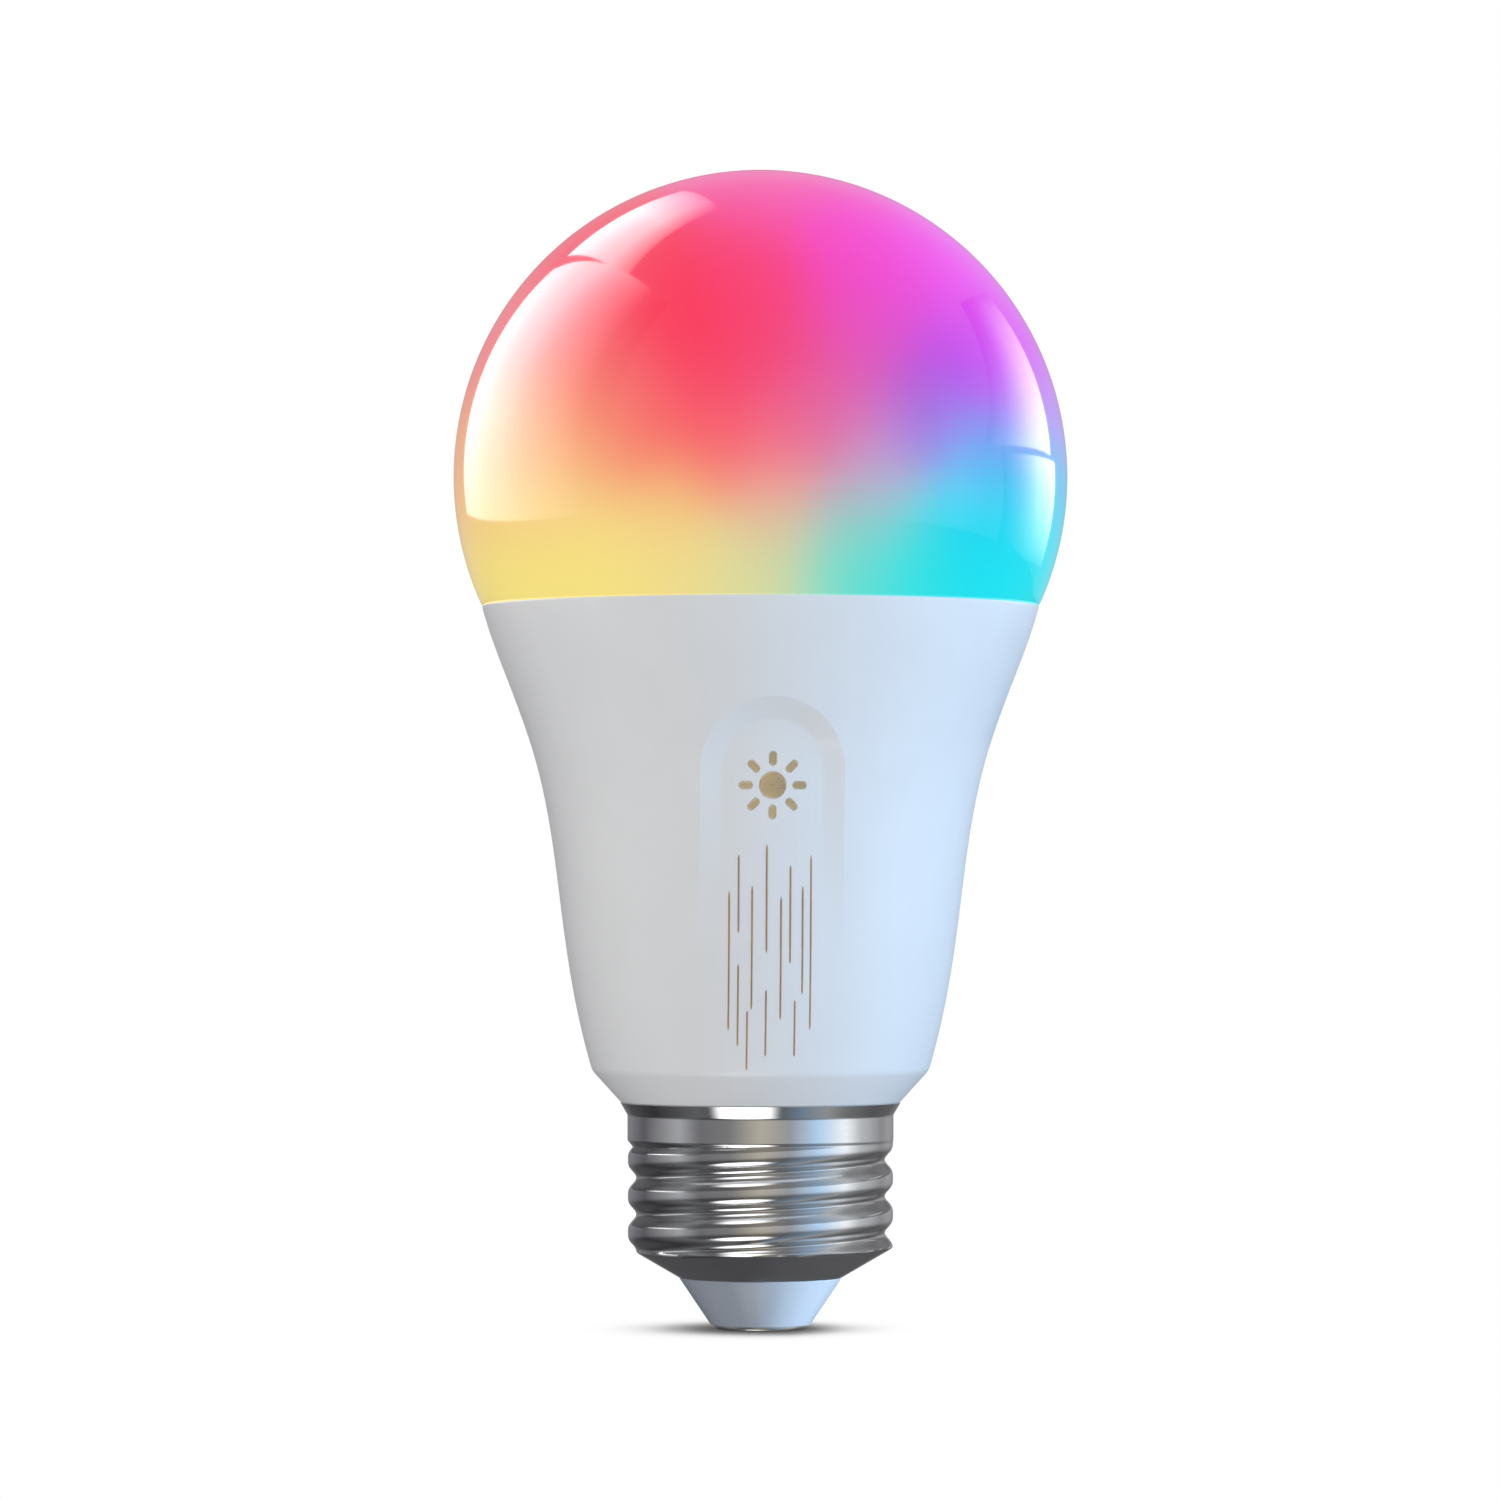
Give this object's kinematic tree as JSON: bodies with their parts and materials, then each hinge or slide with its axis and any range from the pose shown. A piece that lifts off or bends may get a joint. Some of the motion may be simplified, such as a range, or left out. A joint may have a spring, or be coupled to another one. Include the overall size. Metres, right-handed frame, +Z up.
{
  "type": "smart light bulb",
  "caption": "Colour-changing smart LED bulb: a milky dome on a tapered white housing with an arched front recess, gold symbol and trim lines, and a threaded metal screw base",
  "frame": {"origin": "centre of the flat contact face at the bottom of the tip, on the bulb's axis", "axes": "+Z runs up the axis from the contact to the top of the dome, and the arched recess faces -Y"},
  "size_m": [0.061, 0.061, 0.115],
  "materials": {
    "antenna_copper": "gold-plated copper track",
    "base_glue": "cured grey-white adhesive",
    "bobbin_pins": "tinned",
    "bobbin_plastic": "black phenolic",
    "bridge_epoxy": "black epoxy",
    "can_aluminium": "bare aluminium",
    "cap_sleeve": "dark shrink sleeve",
    "capacitor_tan": "tan ceramic",
    "chip_epoxy": "black epoxy",
    "choke_copper": "enamelled copper",
    "choke_ferrite": "dark ferrite",
    "choke_wire": "tinned copper",
    "contact_metal": "tinned and slightly worn",
    "cool_phosphor": "pale yellow resin",
    "dome_diffuser": "milky polycarbonate, lit from inside in blended colours",
    "driver_mask": "green solder mask",
    "ferrite_core": "dark ferrite",
    "fuse_coating": "grey-green coating",
    "fuse_shrink": "black heat-shrink",
    "fuse_wire": "tinned copper",
    "gold_inlay": "brushed champagne gold",
    "header_plastic": "black nylon",
    "housing_shell": "smooth white satin-gloss moulding",
    "led_board_mask": "white solder mask over aluminium",
    "led_case_colour": "white moulded case",
    "led_case_white": "white moulded case",
    "led_window_clear": "clear resin over the chips",
    "leg_tin": "tinned",
    "live_insulation": "red silicone",
    "live_wire": "bare copper",
    "neutral_insulation": "white silicone",
    "neutral_wire": "bare copper",
    "pad_silicone": "grey thermal silicone",
    "pin_gold": "gold flash",
    "radio_mask": "dark blue solder mask",
    "resistor_black": "black coated ceramic",
    "screw_steel": "zinc plated",
    "shell_nickel": "bright nickel plate",
    "shield_tin": "tinned steel",
    "silicone_bead": "white silicone",
    "sink_aluminium": "drawn satin aluminium",
    "socket_plastic": "black nylon",
    "tinned_wire": "tinned copper",
    "tip_plastic": "pale blue-grey moulded insulator",
    "transformer_copper": "enamelled copper",
    "trim_gold": "fine brushed gold lines",
    "varistor_epoxy": "blue epoxy dip",
    "varistor_wire": "tinned copper",
    "warm_phosphor": "orange-yellow resin",
    "winding_tape": "yellow polyester tape"
  },
  "bodies": {
    "root": {"base_adhesive": "base_glue", "board_screws": "screw_steel", "board_socket": "socket_plastic", "bridge_rectifier": "bridge_epoxy", "capacitor_cans": "can_aluminium", "capacitor_leads": "tinned_wire", "capacitor_sleeves": "cap_sleeve", "chip_legs": "leg_tin", "choke_core": "choke_ferrite", "choke_leads": "choke_wire", "choke_winding": "choke_copper", "colour_led_cases": "led_case_colour", "colour_led_windows": "led_window_clear", "contact_rivet": "contact_metal", "cool_led_cases": "led_case_white", "cool_led_phosphor": "cool_phosphor", "dome": "dome_diffuser", "dome_sealant": "silicone_bead", "driver_board": "driver_mask", "driver_chips": "chip_epoxy", "fuse_body": "fuse_coating", "fuse_lead": "fuse_wire", "fuse_sleeve": "fuse_shrink", "header_body": "header_plastic", "header_pins": "pin_gold", "heat_sink": "sink_aluminium", "housing": "housing_shell", "led_board": "led_board_mask", "live_core": "live_wire", "live_jacket": "live_insulation", "mark_inlay": "gold_inlay", "neutral_core": "neutral_wire", "neutral_jacket": "neutral_insulation", "radio_antenna": "antenna_copper", "radio_board": "radio_mask", "radio_shield": "shield_tin", "screw_shell": "shell_nickel", "small_capacitors": "capacitor_tan", "small_resistors": "resistor_black", "thermal_pad": "pad_silicone", "tip_insulator": "tip_plastic", "transformer_bobbin": "bobbin_plastic", "transformer_core": "ferrite_core", "transformer_pins": "bobbin_pins", "transformer_tape": "winding_tape", "transformer_winding": "transformer_copper", "trim_lines": "trim_gold", "varistor_disc": "varistor_epoxy", "varistor_leads": "varistor_wire", "warm_led_cases": "led_case_white", "warm_led_phosphor": "warm_phosphor"}
  },
  "joints": []
}
